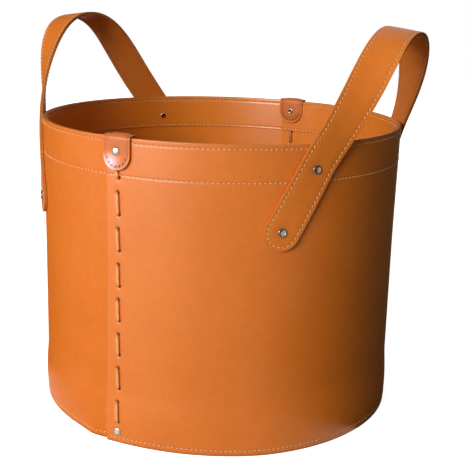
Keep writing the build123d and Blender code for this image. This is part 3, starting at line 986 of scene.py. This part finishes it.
strap = {
    "width": 37.0,
    "thickness": 1.9,
    "liningThickness": 1.4,
    "lean": 29.0,
    "spread": 35.6,
    "highRivet": 296.0,
    "lowRivet": 235.4,
    "leave": 300.0,  # the height at which the strap leaves the wall
    "rootPull": 30.0,
    "rootLift": 0.6,
    "rollStart": 0.12,
    "shoulder": (196.7, 70.1, 363.8),
    "apex": (204.7, 0.0, 425.3),
    "apexPull": 66.0,
    "tilt": 7.3,
    "skew": 1.5,
    "bendLow": 316.0,
    "bendHigh": 336.0,
    "grid": (45.0, 41, 0.8, 2.4),  # blendRun, columns, fine and coarse step
    "rows": (80, 170),  # of its centre line, on the wall and on the free curve
    "stitchInset": 3.5,
    "stitchSink": 0.15,
    "dashExtra": 0.2,
    "groove": (0.9, 0.3, 0.16),  # under the stitches: width, depth, and how dark the painted shade in the groove is
    "press": (8.0, 0.4, 0.12),  # the dent at each rivet: reach, depth, and how dark the painted shade in it is
    "crown": 0.35,
    "crownRise": 1.6,  # the crown is full at the half width divided by this
    "tail": 25.0,
    "liningInset": 0.35,
    "roundEdge": 0.5,
}
strapSeat = bag["rimRadius"] + 1.5 * bag["layGap"] + strap["liningThickness"]
lean = np.radians(strap["lean"])


# How far from the handle's middle the strap's centre line lies on the wall
def rootAngle(z):
    return strap["spread"] + np.degrees((strap["highRivet"] - z) * np.tan(lean) / strapSeat)


# Centre, direction and width direction where the strap lies on the wall
def rootFrames(z):
    angle = rootAngle(z)
    centre = polar(strapSeat + wallRadius(z) - bag["rimRadius"], angle, z)
    up = np.array([0, 0, np.cos(lean)]) - polar(1.0, angle + 90, 0.0) * np.sin(lean)
    return centre, up, np.cross(polar(1.0, angle, 0.0), up)


# The same on the free curve, found by cutting the corners of a row of pulling points,
# while the width rolls by a smoothstep from its way on the wall to its way at the apex
def loopFrames(share):
    root, up, rootWidth = [v[0] for v in rootFrames(np.array([strap["leave"]]))]
    first = root + up * strap["rootPull"] + polar(strap["rootLift"], rootAngle(strap["leave"]), 0.0)
    apex = np.array(strap["apex"])
    beforeApex = apex + np.array([0, strap["apexPull"], 0])
    pulls = (root, first, np.array(strap["shoulder"]), beforeApex, apex)
    points = [pull * np.ones((len(share), 1)) for pull in pulls]
    share = share[:, None]
    while len(points) > 2:
        points = [a + (b - a) * share for a, b in zip(points, points[1:])]
    way = unit(points[1] - points[0])
    centre = points[0] + (points[1] - points[0]) * share
    roll = easing((share - strap["rollStart"]) / (1 - strap["rollStart"]))
    tilt = np.radians(strap["tilt"])
    width = rootWidth * (1 - roll) + np.array([np.cos(tilt), 0, -np.sin(tilt)]) * roll
    return centre, way, unit(width - way * np.sum(width * way, axis=1, keepdims=True))


# A whole strap from below one lower rivet to below the other, mirrored at its apex:
# lengths counted from the first rivet, the three vectors, and the length between the rivets
def strapFrames(middle):
    low, (wallRows, loopRows) = strap["lowRivet"] - strap["tail"], strap["rows"]
    onWall = rootFrames(np.linspace(low, strap["leave"], wallRows)[:-1])
    free = loopFrames(np.linspace(0, 1, loopRows))
    centre, way, width = [np.concatenate(pair) for pair in zip(onWall, free)]
    mirror = np.array([1, -1, 1])
    vectors = [centre, width, np.cross(way, width)]
    vectors = [np.concatenate([v, (v * mirror)[-2::-1]]) @ spinMatrix(middle).T for v in vectors]
    path = pathLength(vectors[0])
    tail = strap["tail"] / np.cos(lean)
    return path - tail, vectors, path[-1] - 2 * tail


# One layer of a strap: round ends, a crown, a groove under its stitches, dents at its rivets, and
# painted shade in the groove and the dents
def strapLayer(name, frames, half, low, high, grain, crown):
    path, vectors, length = frames

    def tipRise(x):
        return -np.sqrt(np.maximum(half**2 - x**2, 0))

    place, across = stripGrid(length, half, tipRise, *strap["grid"])
    past = np.maximum(np.maximum(-place, place - length), 0)
    fromEdge = half - np.hypot(across, past)
    width, depth, dark = strap["groove"]
    reach, dent, dentDark = strap["press"]
    sewn = swell(fromEdge - strap["stitchInset"], width)
    rivetRun = (strap["highRivet"] - strap["lowRivet"]) / np.cos(lean)
    press = nearRivets(place, across, (0, rivetRun, length - rivetRun, length), reach)
    bulge = crown * easing(fromEdge / half * strap["crownRise"])
    top = high + bulge - depth * sewn * (high > 0) - dent * press
    upper = carriedPoints(path, vectors, place, across, top)
    lower = carriedPoints(path, vectors, place, across, low + depth * sewn * (high < 0))
    # painted shade in the groove under the stitches and in the dents at the rivets
    shade = np.stack([dark * sewn + dentDark * press] * 2)
    return leatherSheet(name, upper, lower, [grain] * 2, shade, strap["roundEdge"])


# The closed line of stitches on one face of a strap: up one side, round a tip and back
def strapEdgeLine(frames, lift, facing):
    path, vectors, length = frames
    reach = strap["width"] / 2 - strap["stitchInset"]
    turn = np.radians(np.linspace(-90, 90, 40))
    rows = np.linspace(0, length, 500)
    side = np.full(500, reach)
    place = np.concatenate([rows, length + reach * np.cos(turn), rows[::-1], -reach * np.cos(turn)])
    across = np.concatenate([-side, reach * np.sin(turn), side, -reach * np.sin(turn)])
    points = carriedPoints(path, vectors, place, across, np.full(place.shape, lift))
    normals = facing * unit(alongPath(path, vectors[2], place))
    dash = thread["dash"] + strap["dashExtra"]
    return stitchLine(points, normals, thread["pitch"], dash, facing * thread["slant"])


# One handle: the strap, its lining a little narrower behind it, and the stitches on each
def strapHandle(side, middle):
    frames = strapFrames(middle)
    half, gap = strap["width"] / 2, bag["layGap"] / 2
    body = f"{side}_handle"
    name = f"{side}Handle"
    top, bottom = gap + strap["thickness"], -gap - strap["liningThickness"]
    outer = strapLayer(f"{name}Strap", frames, half, gap, top, strapLeather, strap["crown"])
    nodes = [f"{side}_{key}" for key in ("handle_strap", "strap_ends", "handle_bends")]
    finishPiece(outer, nodes, body)
    narrow = half - strap["liningInset"]
    lining = strapLayer(f"{name}Lining", frames, narrow, bottom, -gap, liningLeather, 0.0)
    finishPiece(lining, [f"{side}_handle_lining", f"{side}_lining_ends"], body)
    sink = strap["stitchSink"]
    faces = (("Strap", top - sink, 1, creamThread), ("Lining", bottom + sink, -1, tanThread))
    for layer, lift, facing, material in faces:
        lines = [strapEdgeLine(frames, lift, facing)]
        finishPiece(threadPiece(f"{name}{layer}Stitching", lines, material), handle=body)


strapHandle("right", strap["skew"])
strapHandle("left", 180 - strap["skew"])
print("strap handles made")

footRivet = 12.8
seatSink = 0.3  # how far a tab's rivets press into its crown
tarnishAndShadeBlend = 0.5
# Radius and height of each head's outline, from its foot to its middle; then how dark it is in the
# middle, up to which radius, and outside that: partly tarnish, partly painted shade and dark
# reflection
rivetHeads = {
    "handleCap": {
        "outline": [(4.45, -0.3), (4.7, 0.1), (4.68, 0.6), (4.4, 1.1), (3.95, 1.42),
                    (3.5, 1.45), (3.2, 1.2), (2.9, 0.95), (1.6, 0.85), (0.0, 0.8)],
        "tarnishAndShade": (0.6, 3.1, 0.86),
    },
    "seamCap": {
        "outline": [(4.1, -0.3), (4.3, 0.1), (4.2, 0.6), (3.7, 1.1),
                    (2.9, 1.5), (1.8, 1.75), (0.8, 1.85), (0.0, 1.87)],
        "tarnishAndShade": (0.3, 2.4, 0.62),
    },
    "back": {
        "outline": [(3.4, -0.3), (3.6, 0.1), (3.5, 0.6), (3.1, 0.95),
                    (2.6, 1.0), (2.2, 0.8), (1.2, 0.6), (0.0, 0.55)],
        "tarnishAndShade": (0.95, 2.5, 0.3),
    },
}


# Heads turned round each rivet's own axis and closed at the foot and in the middle
def rivetPiece(name, places, kind, nodes):
    outline = np.array(rivetHeads[kind]["outline"])
    radius, height = outline[:-1, 0], outline[:-1, 1]
    turn = np.radians(np.arange(0, 360, 15.0))
    rings, sides = len(radius), len(turn)
    last = (rings - 1) * sides + np.arange(sides)
    fan = np.stack([last, np.roll(last, -1), np.full(sides, rings * sides)], axis=1)
    quads, foot = tubeFaces(rings, sides), np.arange(sides)[::-1]
    # how dark each ring of a head is: partly tarnish, partly painted shade and dark reflection
    within, reach, outside = rivetHeads[kind]["tarnishAndShade"]
    tarnishAndShade = within + (outside - within) * easing((radius - reach) / tarnishAndShadeBlend)
    tarnishAndShade = np.append(np.repeat(tarnishAndShade, sides), within)
    points, faces = [], []
    for number, (angle, z, seat, facing) in enumerate(places):
        first = number * (rings * sides + 1)
        out, beside = polar(1.0, angle, 0.0) * facing, polar(1.0, angle + 90, 0.0)
        spot = polar(seat, angle, z)
        around = np.cos(turn)[:, None] * beside + np.sin(turn)[:, None] * upward
        ring = radius[:, None, None] * around + height[:, None, None] * out + spot
        points += [ring.reshape(-1, 3), (spot + out * outline[-1, 1])[None]]
        faces += (quads + first).tolist() + (fan + first).tolist() + [(foot + first).tolist()]
    shade = np.tile(tarnishAndShade, len(places))
    piece = newPiece(name, np.concatenate(points), faces, [nickel], None, shade)
    finishPiece(piece, nodes)


# Places of the rivets at the seams: caps on the outer seats, backs on the inner ones
def seamPlaces(z, seats):
    facings = zip(seats, (1, -1))
    return [[(seam, z, seat, sign) for seam in seams.values()] for seat, sign in facings]


standing = tab["thickness"] + tab["crown"] * 0.5 - seatSink
tabSeats = (bag["rimRadius"] + bag["layGap"] + standing, tab["innerFace"] - standing)
footSeats = (wallRadius(footRivet), base["flangeRadius"] - dive - base["trayThickness"])
tabPlaces = seamPlaces(tab["rivetHeight"], tabSeats)
footPlaces = seamPlaces(footRivet, footSeats)
handlePlaces = [[], []]
for middle in (strap["skew"], 180 - strap["skew"]):
    for z in (strap["highRivet"], strap["lowRivet"]):
        face = float(wallRadius(z))
        inner = face - bag["wallThickness"]
        if z > bag["height"] - band["height"]:
            inner -= bag["layGap"] + band["thickness"]
        outer = face + 2 * bag["layGap"] + strap["liningThickness"] + strap["thickness"]
        for sign in (1, -1):
            handlePlaces[0].append((middle + sign * rootAngle(z), z, outer, 1))
            handlePlaces[1].append((middle + sign * rootAngle(z), z, inner, -1))
for name, (caps, backs), kind in (
    ("tab", tabPlaces, "seamCap"),
    ("foot", footPlaces, "seamCap"),
    ("handle", handlePlaces, "handleCap"),
):
    rivetPiece(f"{name}RivetCaps", caps, kind, [f"{name}_rivet_caps"])
    rivetPiece(f"{name}RivetBacks", backs, "back", [f"{name}_rivet_backs"])
print("rivets made")

# Each lamp: azimuth, distance, height, width, tallness, watts, and whether matt surfaces and
# gloss show it. Azimuths run from the front seam's side towards +X.
softboxes = {
    "keySoftbox": (-3.0, 3.2, 1.35, 1.6, 1.1, 98.0, True, True),
    "leftSoftbox": (-70.0, 1.6, 0.6, 0.9, 0.9, 8.5, True, True),
    "backSoftbox": (209.0, 3.0, 1.2, 1.4, 1.0, 18.0, True, False),
    "sheenStrip": (-25.0, 1.2, 0.55, 1.0, 0.6, 17.0, False, True),
}
# Dark cards behind the bag's two sides, so that its edges mirror no white: azimuth, distance,
# width, tallness, how far the foot reaches inwards, and colour
darkCards = {
    "rightDarkCard": (126.0, 0.5, 1.1, 0.7, 0.36, "#6A6A5C"),
    "leftDarkCard": (-95.0, 0.5, 0.7, 0.7, 0.3, "#4A3826"),
}
studio = {
    "fill": 0.12,
    "fillTint": "#ECFFCE",
    "floorGlow": 0.95,
    "paper": "#F2F2F2",
    "paperBounce": "#949490",  # the light that the paper throws back on the bag
    "aim": 0.2,
    "floorSide": 4.0,
    "floorDrop": 0.0004,  # keeps the paper clear of the bag's foot
}


# The way out from the bag's middle at an azimuth
def wayOut(azimuth):
    turn = np.radians(azimuth)
    return np.array([np.sin(turn), -np.cos(turn), 0])


# A flat thing of the studio, which isn't part of the bag
def stagePiece(name, corners, faces, material):
    mesh = bpy.data.meshes.new(name)
    mesh.from_pydata(corners.tolist(), [], faces)
    mesh.materials.append(material)
    thing = bpy.data.objects.new(name, mesh)
    bpy.context.scene.collection.objects.link(thing)
    return thing


# A rectangular lamp that looks at the bag's middle
def softbox(name, azimuth, distance, height, wide, tall, watts, matt, glossy):
    place = wayOut(azimuth) * distance + [0, 0, height]
    back = unit(place - np.array([0, 0, min(height, studio["aim"])]))
    beside = unit(np.cross([0, 0, 1], back))
    data = bpy.data.lights.new(name, "AREA")
    data.shape = "RECTANGLE"
    data.size, data.size_y, data.energy = wide, tall, watts
    lamp = placeObject(name, data, np.stack([beside, np.cross(back, beside), back], axis=1), place)
    lamp.visible_diffuse, lamp.visible_glossy = matt, glossy


# A card that only mirrored and scattered rays meet: it hides nothing and shades nothing
def placeDarkCard(name, azimuth, distance, wide, tall, foot, colour):
    out = wayOut(azimuth)
    beside = np.cross([0, 0, 1], out) * wide / 2
    middle = out * distance
    rows = [middle - out * foot, middle, middle + np.array([0, 0, tall])]
    corners = np.stack([row + side for row in rows for side in (-beside, beside)])
    material, tree = newMaterial(f"{name}Felt")
    finishMaterial(tree, "BsdfDiffuse", {"Color": linearColour(colour)}, None)
    card = stagePiece(name, corners, [(0, 1, 3, 2), (2, 3, 5, 4)], material)
    card.visible_camera = card.visible_shadow = False


# 1 for rays that show the backdrop: straight, by reflection or through glass
def seenDirectly(tree):
    path = addNode(tree, "LightPath").outputs
    seen = path["Is Camera Ray"]
    for key in ("Is Glossy Ray", "Is Transmission Ray"):
        seen = addNode(tree, "Math", {"operation": "MAXIMUM"}, {0: seen, 1: path[key]}).outputs[0]
    return seen


# A dim fill for what the world lights, and white for what it shows
def makeWorld():
    world = bpy.data.worlds.new("whiteStudio")
    bpy.context.scene.world = world
    world.use_nodes = True
    tree = world.node_tree
    tree.nodes.clear()
    tint = linearColour(studio["fillTint"])
    fill = addNode(tree, "Background", {"Color": tint, "Strength": studio["fill"]})
    white = addNode(tree, "Background", {"Color": (1, 1, 1, 1), "Strength": 1.0})
    links = {0: seenDirectly(tree), 1: fill.outputs[0], 2: white.outputs[0]}
    mixed = addNode(tree, "MixShader", None, links)
    addNode(tree, "OutputWorld", None, {"Surface": mixed.outputs[0]})


# White paper that keeps the bag's shadow, with a glow that only the camera and mirrors see
def makeFloor():
    drop = [0, 0, studio["floorDrop"]]
    square = np.array([(-1, -1, 0), (1, -1, 0), (1, 1, 0), (-1, 1, 0)])
    corners = studio["floorSide"] * square - drop
    material, tree = newMaterial("whitePaperFloor")
    seen = seenDirectly(tree)
    tones = {6: linearColour(studio["paperBounce"]), 7: linearColour(studio["paper"])}
    tone = addNode(tree, "Mix", {"data_type": "RGBA", **tones}, {0: seen})
    paper = addNode(tree, "BsdfDiffuse", None, {"Color": tone.outputs[2]})
    share = addNode(tree, "Math", {"operation": "MULTIPLY", 1: studio["floorGlow"]}, {0: seen})
    glow = addNode(tree, "Emission", {"Color": (1, 1, 1, 1)}, {"Strength": share.outputs[0]})
    finishMaterial(tree, "AddShader", None, {0: paper.outputs[0], 1: glow.outputs[0]})
    stagePiece("studioFloor", corners, [(0, 1, 2, 3)], material)


for name, look in softboxes.items():
    softbox(name, *look)
for name, look in darkCards.items():
    placeDarkCard(name, *look)
makeWorld()
makeFloor()
bpy.context.scene.view_settings.view_transform = "Standard"
print("studio made")
